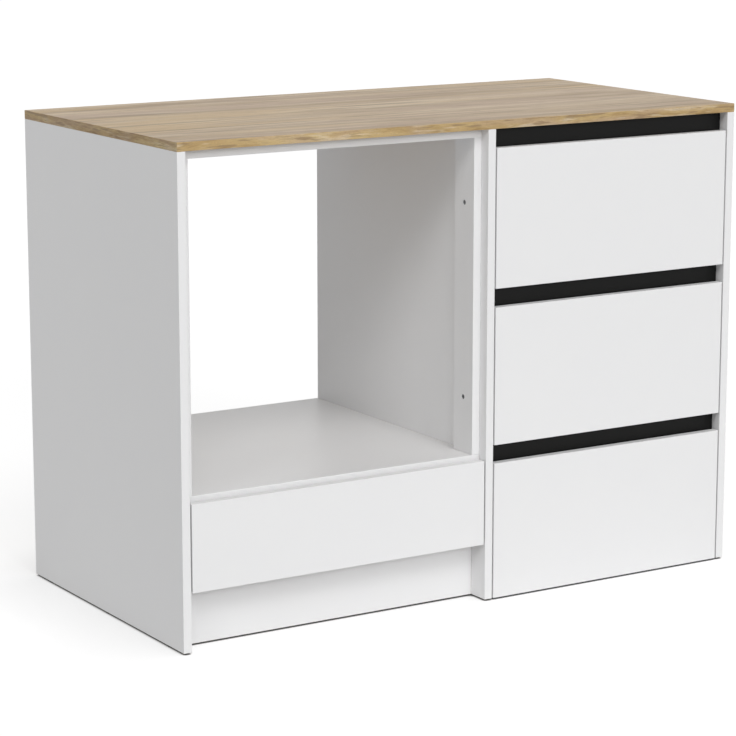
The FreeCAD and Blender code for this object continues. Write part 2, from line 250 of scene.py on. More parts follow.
hardboard = {
    "lacquer": "#E4E4E4",
    "brown": "#8A6A49",
    "brownDark": "#745639",
    "fibre": 3.5 * mm,
    "roughness": 0.5,
    "relief": 0.05 * mm,
    "reliefStrength": 0.5,
}


def makeHardboard(name, whiteSide):
    # thin fibre board, lacquered white on one face and left brown on the other
    material, tree, shader, coords = startMaterial(name, hardboard["roughness"])
    fibre = addNode(tree, "ShaderNodeTexNoise", None,
                    {"Vector": coords["Object"], "Scale": 1 / hardboard["fibre"], "Detail": 6.0,
                     "Roughness": 0.7}).outputs["Fac"]
    brown = addNode(tree, "ShaderNodeMix", {"data_type": "RGBA"},
                    {0: fibre, 6: linear(hardboard["brownDark"]), 7: linear(hardboard["brown"])}).outputs[2]
    lacquered = facing(tree, coords["Normal"], (whiteSide,))
    colour = addNode(tree, "ShaderNodeMix", {"data_type": "RGBA"},
                     {0: lacquered, 6: brown, 7: linear(hardboard["lacquer"])}).outputs[2]
    coat(tree, shader, colour, fibre, hardboard)
    return material


# Two close tones, and the size of the streaks or specks along x, y and z in millimetres
metals = {
    "zincPlatedSteel": {"tone": "#C4C7C9", "shade": "#AEB2B6", "roughness": 0.34, "marks": (1.2, 180, 1.2)},
    "bearingSteel": {"tone": "#D2D3D3", "shade": "#C6C7C8", "roughness": 0.16, "marks": (0.5, 0.5, 0.5)},
    "nickelScrewSteel": {"tone": "#C9C9C6", "shade": "#A9AAA8", "roughness": 0.3, "marks": (0.8, 0.8, 0.8)},
    # the batten screws' dark grey is partly a phosphated finish and partly painted shade of the sunk holes
    # they sit in
    "phosphatedSteel": {"tone": "#8E8F91", "shade": "#737476", "roughness": 0.42, "marks": (0.8, 0.8, 0.8)},
    "castZinc": {"tone": "#B4B5B7", "shade": "#96989B", "roughness": 0.48, "marks": (1.0, 1.0, 1.0)},
}
smallParts = {
    "turnedBeech": {"tone": "#CDAE84", "shade": "#B08C5E", "roughness": 0.6, "marks": (2.0, 2.0, 2.0)},
    "glidePolyethylene": {"tone": "#2E2B28", "shade": "#221F1D", "roughness": 0.5, "marks": (1.5, 1.5, 1.5)},
}


def makeSpeckled(name, look, metallic, detail, relief):
    # plated steel and cast zinc gleam grey with faint streaks; beech and moulded plastic have fine specks
    material, tree, shader, coords = startMaterial(name, look["roughness"], metallic=metallic)
    mapping = addNode(tree, "ShaderNodeMapping", None,
                      {"Vector": coords["Object"], "Scale": [1 / (size * mm) for size in look["marks"]]})
    noise = addNode(tree, "ShaderNodeTexNoise", None,
                    {"Vector": mapping.outputs[0], "Scale": 1.0, "Detail": detail}).outputs["Fac"]
    colour = addNode(tree, "ShaderNodeMix", {"data_type": "RGBA"},
                     {0: noise, 6: linear(look["shade"]), 7: linear(look["tone"])}).outputs[2]
    coat(tree, shader, colour, noise, {"relief": relief, "reliefStrength": 0.4})
    return material


white = (melamine["white"], melamine["whiteShade"], melamine["roughness"])
finishes = {
    "uprightMelamine": makeMelamine("uprightMelamine", *white, (rear, up, down)),
    "shelfMelamine": makeMelamine("shelfMelamine", *white, (rear, left, right)),
    "railMelamine": makeMelamine("railMelamine", *white, (up, down, left, right)),
    "bandedMelamine": makeMelamine("bandedMelamine", *white, ()),
    "drawerMelamine": makeMelamine("drawerMelamine", *white, (rear, down)),
    "blackMelamine": makeMelamine("blackMelamine", melamine["black"], melamine["blackShade"],
                                  melamine["blackRoughness"], (), melamine["blackIor"]),
    "oakLaminate": makeOak("oakLaminate"),
    "hardboardBack": makeHardboard("hardboardBack", ahead),
    "hardboardBottom": makeHardboard("hardboardBottom", up),
}
for name, look in metals.items():
    finishes[name] = makeSpeckled(name, look, 1.0, 3.0, 0.02 * mm)
for name, look in smallParts.items():
    finishes[name] = makeSpeckled(name, look, 0.0, 4.0, 0.03 * mm)
finishOf = {
    "worktop": "oakLaminate", "oven_shelf": "shelfMelamine", "front_top_rail": "shelfMelamine",
    "rear_top_rail": "shelfMelamine", "drawer_bay_floor": "shelfMelamine", "plinth": "railMelamine",
    "rear_bay_rail": "railMelamine", "left_oven_batten": "bandedMelamine",
    "right_oven_batten": "bandedMelamine", "floor_glides": "glidePolyethylene",
    "cam_locks": "castZinc", "cam_bolts": "nickelScrewSteel", "dowels": "turnedBeech",
    "batten_screws": "phosphatedSteel", "slide_screws": "nickelScrewSteel",
}
endings = {
    "_panel": "uprightMelamine", "_grip_rail": "blackMelamine", "_bay_back": "hardboardBack",
    "lower_back": "hardboardBack", "_bottom": "hardboardBottom", "_slides": "zincPlatedSteel",
    "_fixings": "nickelScrewSteel", "_front": "bandedMelamine", "_side": "drawerMelamine",
    "_drawer_back": "drawerMelamine",
}
for name, node in nodes.items():
    finish = finishOf.get(name)
    if finish is None:
        finish = next(value for ending, value in endings.items() if name.endswith(ending))
    node.data.materials.clear()
    node.data.materials.append(finishes[finish])
print("Finishes given to", len(nodes), "nodes")

# Where the slides and fixings sit on the frame, in millimetres
cabinet = {
    "board": 16, "leftFace": -579, "ovenFace": 33, "bayFace": 49, "rightFace": 579,
    "frontBack": -284,  # the rear face of every drawer front
    "slideStart": -282, "slideStations": (-247, -32, 183),
    "camInset": 24,  # from a board's end to the middle of its cams
    "crossTurn": 37,  # degrees between one screw's cross and the next, as no fitter lines them up
}
# The drawers' boxes: their board, their rear end, and how far from an edge their cams and screws sit
box = {"board": 12, "end": 216, "camEnd": 30, "screwLow": 20, "screwHigh": 25}
# Lower edge and height of each drawer's box, and the panel faces beside it
drawers = {
    "top_drawer": (607.7, 180, "bayFace", "rightFace"),
    "middle_drawer": (317.3, 180, "bayFace", "rightFace"),
    "bottom_drawer": (27.0, 180, "bayFace", "rightFace"),
    "storage_drawer": (122.5, 128.5, "leftFace", "ovenFace"),
}


def startTree(name, sizes):
    # a node group that plants something on points, with named sizes and a finish
    tree = bpy.data.node_groups.new(name, "GeometryNodeTree")
    tree.interface.new_socket("Geometry", in_out="OUTPUT", socket_type="NodeSocketGeometry")
    tree.interface.new_socket("Places", in_out="INPUT", socket_type="NodeSocketGeometry")
    tree.interface.new_socket("Finish", in_out="INPUT", socket_type="NodeSocketMaterial")
    for label, value in sizes.items():
        kind = {int: "NodeSocketInt", float: "NodeSocketFloat"}.get(type(value), "NodeSocketObject")
        tree.interface.new_socket(label, in_out="INPUT", socket_type=kind)
    return tree, addNode(tree, "NodeGroupInput").outputs


def finishTree(tree, sockets, geometry):
    whole = addNode(tree, "GeometryNodeRealizeInstances", None, {"Geometry": geometry})
    painted = addNode(tree, "GeometryNodeSetMaterial", None,
                      {"Geometry": whole.outputs[0], "Material": sockets["Finish"]})
    addNode(tree, "NodeGroupOutput", None, {"Geometry": painted.outputs[0]})


def plantOnPlaces(tree, sockets, solid):
    # one solid on every point, its z axis along aim and its x axis along toward
    rotation = None
    for label, axis, pivot in (("aim", "Z", "AUTO"), ("toward", "X", "Z")):
        wanted = addNode(tree, "GeometryNodeInputNamedAttribute", {"data_type": "FLOAT_VECTOR"},
                         {"Name": label})
        turned = addNode(tree, "FunctionNodeAlignRotationToVector", {"axis": axis, "pivot_axis": pivot},
                         {"Vector": wanted.outputs[0]})
        if rotation:
            tree.links.new(rotation, turned.inputs["Rotation"])
        rotation = turned.outputs[0]
    planted = addNode(tree, "GeometryNodeInstanceOnPoints", None,
                      {"Points": sockets["Places"], "Instance": solid, "Rotation": rotation})
    finishTree(tree, sockets, planted.outputs[0])


def grow(name, tree, sizes, finish, places, body, replaced):
    # runs a tree on its points and keeps the result as a plain mesh
    mesh = bpy.data.meshes.new(name + "Places")
    mesh.from_pydata([place[0] for place in places], [], [])
    for number, label in ((1, "aim"), (2, "toward")):
        layer = mesh.attributes.new(label, "FLOAT_VECTOR", "POINT")
        for item, place in zip(layer.data, places):
            item.vector = place[number]
    holder = bpy.data.objects.new(name + "Places", mesh)
    bpy.context.scene.collection.objects.link(holder)
    modifier = holder.modifiers.new("grow", "NODES")
    modifier.node_group = tree
    values = dict(sizes, Finish=finishes[finish])
    for item in tree.interface.items_tree:
        if item.in_out == "INPUT" and item.name in values:
            modifier[item.identifier] = values[item.name]
    plain = bpy.data.meshes.new_from_object(holder.evaluated_get(bpy.context.evaluated_depsgraph_get()))
    bpy.data.objects.remove(holder)
    plain.name = name
    piece = bpy.data.objects.new(name, plain)
    bpy.context.scene.collection.objects.link(piece)
    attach(piece, body)
    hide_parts(*replaced)
    return piece


def makeTurnedTree(name, sides, rings, sizes):
    # a turned solid, with a cross recess if sizes has one; rings are (radius, height) shares from the tip up
    tree, sockets = startTree(name, sizes)
    column = addNode(tree, "GeometryNodeMeshCylinder", {"fill_type": "NGON"},
                     {"Vertices": sides, "Side Segments": len(rings) - 1, "Radius": 1.0, "Depth": 1.0})
    position = addNode(tree, "GeometryNodeInputPosition").outputs[0]
    level = addNode(tree, "ShaderNodeSeparateXYZ", None, {0: position}).outputs["Z"]
    ring = addNode(tree, "ShaderNodeMath", {"operation": "MULTIPLY_ADD"},
                   {0: level, 1: len(rings) - 1.0, 2: len(rings) / 2}).outputs[0]
    measures = []
    for part, size in ((0, "Radius"), (1, "Length")):
        switch = addNode(tree, "GeometryNodeIndexSwitch", {"data_type": "FLOAT"}, {"Index": ring})
        for number, shares in enumerate(rings):
            if number > 1:
                switch.index_switch_items.new()
            switch.inputs[number + 1].default_value = shares[part]
        measures.append(addNode(tree, "ShaderNodeMath", {"operation": "MULTIPLY"},
                                {0: switch.outputs[0], 1: sockets[size]}).outputs[0])
    spread = addNode(tree, "ShaderNodeCombineXYZ", None, {"X": measures[0], "Y": measures[0]})
    lift = addNode(tree, "ShaderNodeCombineXYZ", None, {"Z": measures[1]})
    moved = addNode(tree, "ShaderNodeVectorMath", {"operation": "MULTIPLY_ADD"},
                    {0: position, 1: spread.outputs[0], 2: lift.outputs[0]})
    solid = addNode(tree, "GeometryNodeSetPosition", None,
                    {"Geometry": column.outputs["Mesh"], "Position": moved.outputs[0]}).outputs[0]
    if "Recess Width" in sizes:
        top = addNode(tree, "ShaderNodeMath", {"operation": "MULTIPLY"},
                      {0: sockets["Length"], 1: rings[-1][1]}).outputs[0]
        place = addNode(tree, "ShaderNodeCombineXYZ", None, {"Z": top}).outputs[0]
        cutters = []
        # the second blade cuts less deep, because two floors in one plane leave stray faces
        blades = (("Recess Width", "Recess Reach", 1.0), ("Recess Reach", "Recess Width", 0.93))
        for wide, long, share in blades:
            depth = addNode(tree, "ShaderNodeMath", {"operation": "MULTIPLY"},
                            {0: sockets["Recess Depth"], 1: share})
            size = addNode(tree, "ShaderNodeCombineXYZ", None,
                           {"X": sockets[wide], "Y": sockets[long], "Z": depth.outputs[0]})
            blade = addNode(tree, "GeometryNodeMeshCube", None, {"Size": size.outputs[0]})
            cutters.append(addNode(tree, "GeometryNodeTransform", None,
                                   {"Geometry": blade.outputs["Mesh"], "Translation": place}).outputs[0])
        solid = addNode(tree, "GeometryNodeMeshBoolean", {"operation": "DIFFERENCE"},
                        {"Mesh 1": solid, "Mesh 2": cutters}).outputs["Mesh"]
    plantOnPlaces(tree, sockets, solid)
    return tree


# Fixings, in millimetres: the widest radius, the length below the face that a head or cam lies flush with,
# and the width, reach and height of the two blades that cut the cross recess, half sunk into the top
fixings = {
    "battenScrew": {"radius": 4.6, "length": 25.0, "cone": 3.6, "recess": (1.3, 5.6, 3.6),
                    "finish": "phosphatedSteel", "slot": "fixing_steel"},
    "boxScrew": {"radius": 3.5, "length": 32.0, "cone": 2.4, "recess": (1.1, 4.2, 3.0),
                 "finish": "nickelScrewSteel", "slot": "fixing_steel"},
    "panScrew": {"radius": 3.5, "length": 8.0, "recess": (1.0, 3.8, 1.6),
                 "finish": "nickelScrewSteel", "slot": "fixing_steel"},
    "cam": {"radius": 7.4, "length": 12.5, "recess": (1.9, 7.6, 9.0),
            "finish": "castZinc", "slot": "zinc_cams"},
    "boxCam": {"radius": 5.9, "length": 8.5, "recess": (1.6, 6.2, 6.0),
               "finish": "castZinc", "slot": "zinc_cams"},
    "bolt": {"radius": 3.0, "length": 35.5, "bite": 11.5, "recess": None,
             "finish": "nickelScrewSteel", "slot": "fixing_steel"},
}
threadPitch = 2.2  # a real chipboard thread has 1.6 mm, finer than needed


def thread(low, high, crest, root):
    # rings of a screw thread between two heights, drawn as ridges
    count = max(2, int((high - low) / threadPitch))
    step = (high - low) / (2 * count)
    return [(root if number % 2 else crest, low + step * number) for number in range(2 * count + 1)]


# The outlines as (radius, height) from the tip up; the face that heads and cams lie flush with is at 0
def countersunkRings(screw):
    length, head, cone = screw["length"], screw["radius"], screw["cone"]
    return ([(0.4, -length), (1.2, -length + 2.4)] + thread(-length + 2.8, -cone - 4.0, 1.72, 1.25)
            + [(1.35, -cone - 3.6), (1.35, -cone - 0.1), (head - 0.28, -0.36), (head - 0.1, -0.12),
               (head - 0.1, 0.0)])


def panRings(screw):
    length, head = screw["length"], screw["radius"]
    return ([(0.4, -length), (1.1, -length + 1.4)] + thread(-length + 1.8, -1.3, 1.72, 1.2)
            + [(1.5, -1.0), (1.5, 0.0), (head, 0.0), (head, 0.5), (head - 0.25, 0.95), (head - 0.8, 1.25),
               (head - 1.3, 1.4)])


def camRings(cam):
    radius, depth = cam["radius"], cam["length"]
    return [(radius - 0.4, -depth), (radius, -depth + 0.4), (radius, -1.1), (radius - 0.35, -0.8),
            (radius - 0.35, -0.5), (radius, -0.3), (radius - 0.3, 0.0), (radius - 1.5, 0.0),
            (radius - 1.9, -0.4)]


def boltRings(bolt):
    # the thread bites into one board, and the cam grips the neck before the far end
    bite, length, wide, shank, neck = bolt["bite"], bolt["length"], bolt["radius"], 2.5, 1.7
    return (thread(0.3, bite - 1.0, wide, 2.2)
            + [(wide, bite - 0.6), (wide, bite + 0.6), (shank, bite + 1.0), (shank, length - 9.0),
               (wide, length - 8.6), (wide, length - 7.2), (neck, length - 6.4), (neck, length - 3.0),
               (wide, length - 2.4), (wide, length - 0.8), (2.2, length)])


outlines = {"battenScrew": countersunkRings, "boxScrew": countersunkRings, "panScrew": panRings,
            "cam": camRings, "boxCam": camRings, "bolt": boltRings}
fixingTrees = {}
for kind, make in fixings.items():
    sizes = {"Radius": make["radius"] * mm, "Length": make["length"] * mm}
    if make["recess"]:
        labels = ("Recess Width", "Recess Reach", "Recess Depth")
        sizes.update({label: size * mm for label, size in zip(labels, make["recess"])})
    sides = 24 if make["recess"] else 12  # the bolts hide in the boards
    rings = [(radius / make["radius"], height / make["length"]) for radius, height in outlines[kind](make)]
    fixingTrees[kind] = (makeTurnedTree(kind, sides, rings, sizes), sizes)


def growFixings(name, kind, places, body, replaced):
    tree, sizes = fixingTrees[kind]
    grow(name, tree, sizes, fixings[kind]["finish"], places, body, (replaced,))


def crossPlaces(heads):
    # head places with a turn for each
    places = []
    for number, (place, aim) in enumerate(heads):
        across = Vector(aim).orthogonal()
        across.rotate(Quaternion(aim, math.radians(cabinet["crossTurn"] * number)))
        places.append((place, aim, across))
    return places


def jointPlaces(joints, thick):
    # cams with their mouths in the board's face, and the bolts that they pull on
    cams, bolts = [], []
    for seat, inward, opening in joints:
        seat, inward, opening = Vector(seat), Vector(inward), Vector(opening)
        cams.append(((seat + inward * cabinet["camInset"] + opening * thick / 2) * mm, opening, -inward))
        bolts.append(((seat - inward * fixings["bolt"]["bite"]) * mm, inward, opening))
    return cams, bolts


def boardEnds(bay, seats, opening):
    # both ends of a board between two panels, with y and z of each seat
    x0, x1 = (cabinet[face] for face in bay)
    return [((x, y, z), inward, opening) for x, inward in ((x0, right), (x1, left)) for y, z in seats]


ovenBay, drawerBay = ("leftFace", "ovenFace"), ("bayFace", "rightFace")
# The oven's shelf with both top rails, the plinth, the drawer bay's floor, its rear rail and the grip rails
carcassJoints = (boardEnds(ovenBay, ((-188, 267), (210, 267), (-249, 866), (249, 866)), down)
                 + boardEnds(ovenBay, ((-247, 48.75),), rear)
                 + boardEnds(drawerBay, ((-188, 11), (210, 11)), down)
                 + boardEnds(drawerBay, ((274, 823),), ahead)
                 + boardEnds(drawerBay, ((-270, 828), (-270, 555.4), (-270, 265.1)), rear))
# and the worktop on the three upright panels
for x, opening in ((-587, right), (41, right), (587, left)):
    carcassJoints += [((x, y, 874), down, opening) for y in (-130, 130)]
cams, bolts = jointPlaces(carcassJoints, cabinet["board"])
growFixings("camLocks", "cam", cams, "cabinet", "cam_locks")
growFixings("camBolts", "bolt", bolts, "cabinet", "cam_bolts")
battenHeads = [(metres(x, -247, z), aim) for x, aim in ((-564.2, right), (18.2, left)) for z in (379, 738)]
growFixings("battenScrews", "battenScrew", crossPlaces(battenHeads), "cabinet", "batten_screws")

# The slides, in millimetres
slide = {
    "length": 500, "sheet": 1.2, "bend": 2.1, "bendSteps": 4, "gap": 12.7,
    "rise": 50,  # of the middle line above the box's lower edge
    # web place and lip reach from the panel, height, and the punched holes of each member
    "outer": {"web": 0.0, "lip": 9.0, "height": 45.0, "hole": 2.6, "stretch": 1.0, "first": 67.0,
              "spacing": 64.0, "count": 7},
    "middle": {"web": 3.6, "lip": 11.0, "height": 34.0, "hole": 4.0, "stretch": 2.4, "first": 58.0,
               "spacing": 96.0, "count": 5},
    "inner": {"web": 12.7, "lip": 6.6, "height": 26.0, "hole": 2.2, "stretch": 1.8, "first": 67.0,
              "spacing": 64.0, "count": 7},
    "punchSides": 16,
    # place across the gap, height from the middle and radius of the balls in each race
    "races": {"Outer": (6.85, 19.0, 1.85), "Inner": (8.8, 14.55, 1.25)},
    "ballStart": 12,
    "ballSpacing": 9.0,
    "ballCount": 53,
    "ballFacets": (8, 6),
    "cageInset": 0.5,  # from the slide's ends
    "cageSheet": 0.5,
    "cageRail": 0.35,
    "cageWidth": 1.7,  # this and the next in radii of the balls
    "cageWindow": 2.1,
}


def memberSolid(web, lip, height):
    # a rolled sheet channel with rounded bends; x runs across the gap, y along, z up
    sheet, bend, steps = slide["sheet"], slide["bend"], slide["bendSteps"]
    side = 1 if lip > web else -1
    corner = Vector((web + side * bend, height / 2 - bend))
    rays = [Vector((-side * math.sin(angle), math.cos(angle)))
            for angle in (math.radians(90 * step / steps) for step in range(steps + 1))]
    outside = [Vector((lip, height / 2))] + [corner + bend * ray for ray in rays]
    inside = [corner + (bend - sheet) * ray for ray in reversed(rays)] + [Vector((lip, height / 2 - sheet))]
    profile = (outside + [Vector((x, -z)) for x, z in reversed(outside)]
               + [Vector((x, -z)) for x, z in reversed(inside)] + inside)
    mesh = bmesh.new()
    rows = [[mesh.verts.new(metres(x, y, z)) for x, z in profile] for y in (0, slide["length"])]
    for number in range(len(profile)):
        following = (number + 1) % len(profile)
        mesh.faces.new((rows[0][number], rows[0][following], rows[1][following], rows[1][number]))
    mesh.faces.new(rows[0])
    mesh.faces.new(rows[1])
    bmesh.ops.recalc_face_normals(mesh, faces=mesh.faces)
    data = bpy.data.meshes.new("rolledMember")
    mesh.to_mesh(data)
    mesh.free()
    member = bpy.data.objects.new("rolledMember", data)
    bpy.context.scene.collection.objects.link(member)
    return member


def makePunchedTree():
    # a member with a row of round or oblong holes through its web
    tree, sockets = startTree("punchedMember", {
        "Member": None, "Hole Radius": 1.0, "Hole Stretch": 1.0, "Web Place": 0.0, "First Hole": 0.0,
        "Hole Spacing": 1.0, "Hole Count": 1})
    member = addNode(tree, "GeometryNodeObjectInfo", None, {"Object": sockets["Member"]}).outputs["Geometry"]
    punch = addNode(tree, "GeometryNodeMeshCylinder", None,
                    {"Vertices": slide["punchSides"], "Radius": sockets["Hole Radius"],
                     "Depth": 4 * slide["sheet"] * mm})
    start = addNode(tree, "ShaderNodeCombineXYZ", None,
                    {"X": sockets["Web Place"], "Y": sockets["First Hole"]})
    step = addNode(tree, "ShaderNodeCombineXYZ", None, {"Y": sockets["Hole Spacing"]})
    row = addNode(tree, "GeometryNodeMeshLine", None,
                  {"Count": sockets["Hole Count"], "Start Location": start.outputs[0],
                   "Offset": step.outputs[0]})
    oblong = addNode(tree, "ShaderNodeCombineXYZ", None, {"X": 1.0, "Y": sockets["Hole Stretch"], "Z": 1.0})
    holes = addNode(tree, "GeometryNodeInstanceOnPoints", None,
                    {"Points": row.outputs["Mesh"], "Instance": punch.outputs["Mesh"],
                     "Rotation": (0, math.pi / 2, 0), "Scale": oblong.outputs[0]})
    loose = addNode(tree, "GeometryNodeRealizeInstances", None, {"Geometry": holes.outputs[0]})
    punched = addNode(tree, "GeometryNodeMeshBoolean", {"operation": "DIFFERENCE"},
                      {"Mesh 1": member, "Mesh 2": loose.outputs[0]})
    plantOnPlaces(tree, sockets, punched.outputs["Mesh"])
    return tree


def makeBallTree():
    # rows of small balls along y from every place
    tree, sockets = startTree("ballRows", {"Ball Radius": 1.0, "Spacing": 1.0, "Count": 1})
    step = addNode(tree, "ShaderNodeCombineXYZ", None, {"Y": sockets["Spacing"]})
    row = addNode(tree, "GeometryNodeMeshLine", None, {"Count": sockets["Count"], "Offset": step.outputs[0]})
    rows = addNode(tree, "GeometryNodeInstanceOnPoints", None,
                   {"Points": sockets["Places"], "Instance": row.outputs["Mesh"]})
    loose = addNode(tree, "GeometryNodeRealizeInstances", None, {"Geometry": rows.outputs[0]})
    segments, rings = slide["ballFacets"]
    ball = addNode(tree, "GeometryNodeMeshUVSphere", None,
                   {"Segments": segments, "Rings": rings, "Radius": sockets["Ball Radius"]})
    smooth = addNode(tree, "GeometryNodeSetShadeSmooth", None, {"Geometry": ball.outputs["Mesh"]})
    balls = addNode(tree, "GeometryNodeInstanceOnPoints", None,
                    {"Points": loose.outputs[0], "Instance": smooth.outputs[0]})
    finishTree(tree, sockets, balls.outputs[0])
    return tree


def makeCageTree():
    # the ladder of thin steel that keeps a row of balls apart
    tree, sockets = startTree("ballCages", {"Ball Radius": 1.0, "Spacing": 1.0, "Count": 1, "Length": 1.0,
                                            "Cage Width": 1.0, "Cage Thickness": 1.0})
    halfStep = addNode(tree, "ShaderNodeMath", {"operation": "MULTIPLY"}, {0: sockets["Spacing"], 1: 0.5})
    start = addNode(tree, "ShaderNodeCombineXYZ", None, {"Y": halfStep.outputs[0]})
    step = addNode(tree, "ShaderNodeCombineXYZ", None, {"Y": sockets["Spacing"]})
    row = addNode(tree, "GeometryNodeMeshLine", None,
                  {"Count": sockets["Count"], "Start Location": start.outputs[0], "Offset": step.outputs[0]})
    bridge = addNode(tree, "ShaderNodeMath", {"operation": "MULTIPLY_ADD"},
                     {0: sockets["Ball Radius"], 1: -slide["cageWindow"], 2: sockets["Spacing"]})
    rungSize = addNode(tree, "ShaderNodeCombineXYZ", None,
                       {"X": sockets["Cage Width"], "Y": bridge.outputs[0], "Z": sockets["Cage Thickness"]})
    rung = addNode(tree, "GeometryNodeMeshCube", None, {"Size": rungSize.outputs[0]})
    rungs = addNode(tree, "GeometryNodeInstanceOnPoints", None,
                    {"Points": row.outputs["Mesh"], "Instance": rung.outputs["Mesh"]})
    parts = [rungs.outputs[0]]
    reach = addNode(tree, "ShaderNodeCombineXYZ", None, {"X": sockets["Cage Width"], "Y": sockets["Length"]})
    railSize = addNode(tree, "ShaderNodeCombineXYZ", None,
                       {"X": slide["cageRail"] * mm, "Y": sockets["Length"], "Z": sockets["Cage Thickness"]})
    for side in (-0.5, 0.5):
        place = addNode(tree, "ShaderNodeVectorMath", {"operation": "MULTIPLY"},
                        {0: (side, 0.5, 0.0), 1: reach.outputs[0]})
        rail = addNode(tree, "GeometryNodeMeshCube", None, {"Size": railSize.outputs[0]})
        parts.append(addNode(tree, "GeometryNodeTransform", None,
                             {"Geometry": rail.outputs["Mesh"], "Translation": place.outputs[0]}).outputs[0])
    ladder = addNode(tree, "GeometryNodeJoinGeometry", None, {"Geometry": parts})
    plantOnPlaces(tree, sockets, ladder.outputs[0])
    return tree


memberTree, ballTree, cageTree = makePunchedTree(), makeBallTree(), makeCageTree()
members = {kind: memberSolid(slide[kind]["web"], slide[kind]["lip"], slide[kind]["height"])
           for kind in ("outer", "middle", "inner")}


def growMembers(name, kind, places, body, replaced):
    look = slide[kind]
    web = look["web"] + (slide["sheet"] / 2 if look["lip"] > look["web"] else -slide["sheet"] / 2)
    sizes = {"Member": members[kind], "Hole Radius": look["hole"] * mm, "Hole Stretch": look["stretch"],
             "Web Place": web * mm, "First Hole": look["first"] * mm, "Hole Spacing": look["spacing"] * mm,
             "Hole Count": look["count"]}
    grow(name, memberTree, sizes, "zincPlatedSteel", places, body, replaced)


def camelName(drawer, ending):
    return drawer.split("_")[0] + "Drawer" + ending


def growRace(drawer, race, faces, middle):
    # the balls of one race of both slides, with their cages
    across, height, radius = slide["races"][race]
    runners, replaced = drawer + "_runners", (drawer + "_middle_slides",)
    sizes = {"Ball Radius": radius * mm, "Spacing": slide["ballSpacing"] * mm, "Count": slide["ballCount"],
             "Length": (slide["length"] - 2 * slide["cageInset"]) * mm,
             "Cage Width": slide["cageWidth"] * radius * mm, "Cage Thickness": slide["cageSheet"] * mm}
    for ending, inset, tree, finish in (("Balls", slide["ballStart"], ballTree, "bearingSteel"),
                                        ("Cages", slide["cageInset"], cageTree, "zincPlatedSteel")):
        y = cabinet["slideStart"] + inset
        rows = [(metres(face + side * across, y, middle + way * height), up, right)
                for face, side in faces for way in (1, -1)]
        grow(camelName(drawer, race + ending), tree, sizes, finish, rows, runners, replaced)


outerPlaces, outerScrews = [], []
for drawer, (low, tall, leftName, rightName) in drawers.items():
    middle = low + slide["rise"]
    faces = ((cabinet[leftName], 1), (cabinet[rightName], -1))
    starts = [(metres(face, cabinet["slideStart"], middle), (0, 0, side), (side, 0, 0))
              for face, side in faces]
    outerPlaces += starts
    growMembers(camelName(drawer, "MiddleMembers"), "middle", starts, drawer + "_runners",
                (drawer + "_middle_slides",))
    growMembers(camelName(drawer, "InnerMembers"), "inner", starts, drawer, (drawer + "_inner_slides",))
    for race in slide["races"]:
        growRace(drawer, race, faces, middle)
    innerHeads, boxJoints, boxHeads = [], [], []
    for face, side in faces:
        outside = face + side * slide["gap"]
        for y in cabinet["slideStations"]:
            outerScrews.append((metres(face + side * slide["sheet"], y, middle), (side, 0, 0)))
            innerHeads.append((metres(outside - side * slide["sheet"], y, middle), (-side, 0, 0)))
        x = outside + side * box["board"] / 2
        for z in (low + box["camEnd"], low + tall - box["camEnd"]):
            boxJoints.append(((x, cabinet["frontBack"], z), rear, (side, 0, 0)))
        for z in (low + box["screwLow"], low + tall - box["screwHigh"]):
            boxHeads.append((metres(outside, box["end"] - box["board"] / 2, z), (-side, 0, 0)))
    cams, bolts = jointPlaces(boxJoints, box["board"])
    fixed = drawer + "_fixings"
    growFixings(camelName(drawer, "BoxCams"), "boxCam", cams, drawer, fixed)
    growFixings(camelName(drawer, "BoxBolts"), "bolt", bolts, drawer, fixed)
    growFixings(camelName(drawer, "BoxScrews"), "boxScrew", crossPlaces(boxHeads), drawer, fixed)
    growFixings(camelName(drawer, "SlideScrews"), "panScrew", crossPlaces(innerHeads), drawer, fixed)
growMembers("outerMembers", "outer", outerPlaces, "cabinet",
            tuple(name + "_outer_slides" for name in drawers))
growFixings("slideScrews", "panScrew", crossPlaces(outerScrews), "cabinet", "slide_screws")
for member in members.values():
    bpy.data.objects.remove(member)
print("Screws, cams, bolts, slides and balls planted")

studio = {
    "ambient": 0.28,
    # azimuth from the front towards the right, elevation, strength and angular size of each soft lamp
    "lamps": ((0, 20, 0.72, 18), (-30, 45, 0.45, 18), (-60, 30, 0.35, 18), (0, 45, 0.62, 40),
              (30, 15, 0.12, 40)),
    "floorHalf": 60.0,
    "floorBounce": 0.78,
    "floorShadow": 0.42,  # how strongly the lamps' shadows darken the floor as the camera sees it
    "floorGlow": 0.75,
    "contactShadowReach": 12 * mm,  # painted contact shadow: the floor goes dark this near under the boards
    "contactShadowRange": (0.24, 0.7),  # openness of the floor where it is darkest and where it is plain
    "contactShadowTone": 0.08,
    "shadeReach": 230 * mm,  # and is softly shaded this far on the side away from shadeAim
    "shadeAim": (0.72, -0.42, 0.55),
    "shadeRange": (0.2, 0.95),
    "shade": 0.3,
    "lens": 132.07,
    "cameraPlace": (-2.6863, -4.2650, 1.4182),
    "cameraTurn": 31.874,
    "cameraDown": 11.512,
}


def seenMask(tree):
    # 1 for rays from the camera, from gloss and through glass
    path = addNode(tree, "ShaderNodeLightPath").outputs
    mask = path["Is Camera Ray"]
    for name in ("Is Glossy Ray", "Is Transmission Ray"):
        mask = addNode(tree, "ShaderNodeMath", {"operation": "MAXIMUM"}, {0: mask, 1: path[name]}).outputs[0]
    return mask


